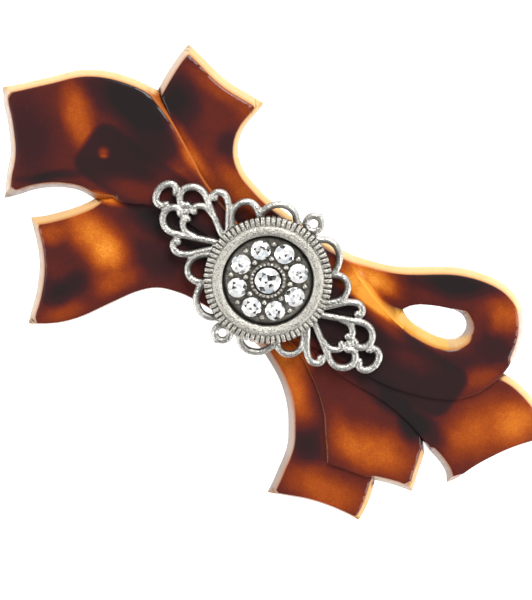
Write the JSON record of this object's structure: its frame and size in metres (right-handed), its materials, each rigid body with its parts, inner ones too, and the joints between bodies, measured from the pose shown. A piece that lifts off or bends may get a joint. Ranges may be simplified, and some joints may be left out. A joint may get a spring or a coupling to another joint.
{
  "type": "barrette",
  "caption": "Arched hair barrette: moulded ribbon-bow plate with a stone-set medallion on scroll filigree, over a spring clip with a hinged arm and snap clasp.",
  "frame": {"origin": "middle of the whole object's footprint, on the surface that the closed clip's arm rests on", "axes": "+X along the clip from the hinge to the clasp, +Y across the clip, +Z out of the decorated face"},
  "size_m": [0.104, 0.0512, 0.0158],
  "materials": {
    "tortoise": "polished translucent tortoise-pattern resin, amber to near-black",
    "antique_silver": "cast white metal, antiqued, bright on the high points",
    "pan_silver": "cast white metal, dark antiquing in the recesses",
    "crystal": "clear foiled cut glass",
    "clip_steel": "nickel-plated spring steel strip"
  },
  "bodies": {
    "bow_and_base": {"bow_plate": "tortoise", "filigree_frame": "antique_silver", "milled_rim": "antique_silver", "stone_pan": "pan_silver", "centre_stone": "crystal", "ring_stone_1": "crystal", "ring_stone_2": "crystal", "ring_stone_3": "crystal", "ring_stone_4": "crystal", "ring_stone_5": "crystal", "ring_stone_6": "crystal", "ring_stone_7": "crystal", "ring_stone_8": "crystal", "base_bar": "clip_steel", "hinge_pin": "clip_steel", "clasp_web": "clip_steel", "clasp_rivet": "clip_steel"},
    "arm": {"swing_arm": "clip_steel"},
    "spring_bow": {"tension_bow": "clip_steel"},
    "left_tab": {"press_tab_left": "clip_steel"},
    "right_tab": {"press_tab_right": "clip_steel"}
  },
  "joints": [
    {"name": "arm_hinge", "type": "hinge", "parent": "bow_and_base", "child": "arm", "pos_m": [-0.0333, 0.00385, 0.00308], "axis": [0, 1, 0], "range_deg": [0, 75]},
    {"name": "bow_swing", "type": "hinge", "parent": "bow_and_base", "child": "spring_bow", "pos_m": [-0.0333, 0.00385, 0.00308], "axis": [0, 1, 0], "range_deg": [0, 30]},
    {"name": "left_tab_press", "type": "hinge", "parent": "bow_and_base", "child": "left_tab", "pos_m": [0.0307, 0.0067, 0.00417], "axis": [-1, 0, 0], "range_deg": [0, 8], "stiffness_Nm_per_rad": 0.02},
    {"name": "right_tab_press", "type": "hinge", "parent": "bow_and_base", "child": "right_tab", "pos_m": [0.0307, 0.001, 0.00417], "axis": [1, 0, 0], "range_deg": [0, 8], "stiffness_Nm_per_rad": 0.02}
  ],
  "couplings": [
    {"joint": "bow_swing", "follows": "arm_hinge", "ratio": 0.4}
  ]
}
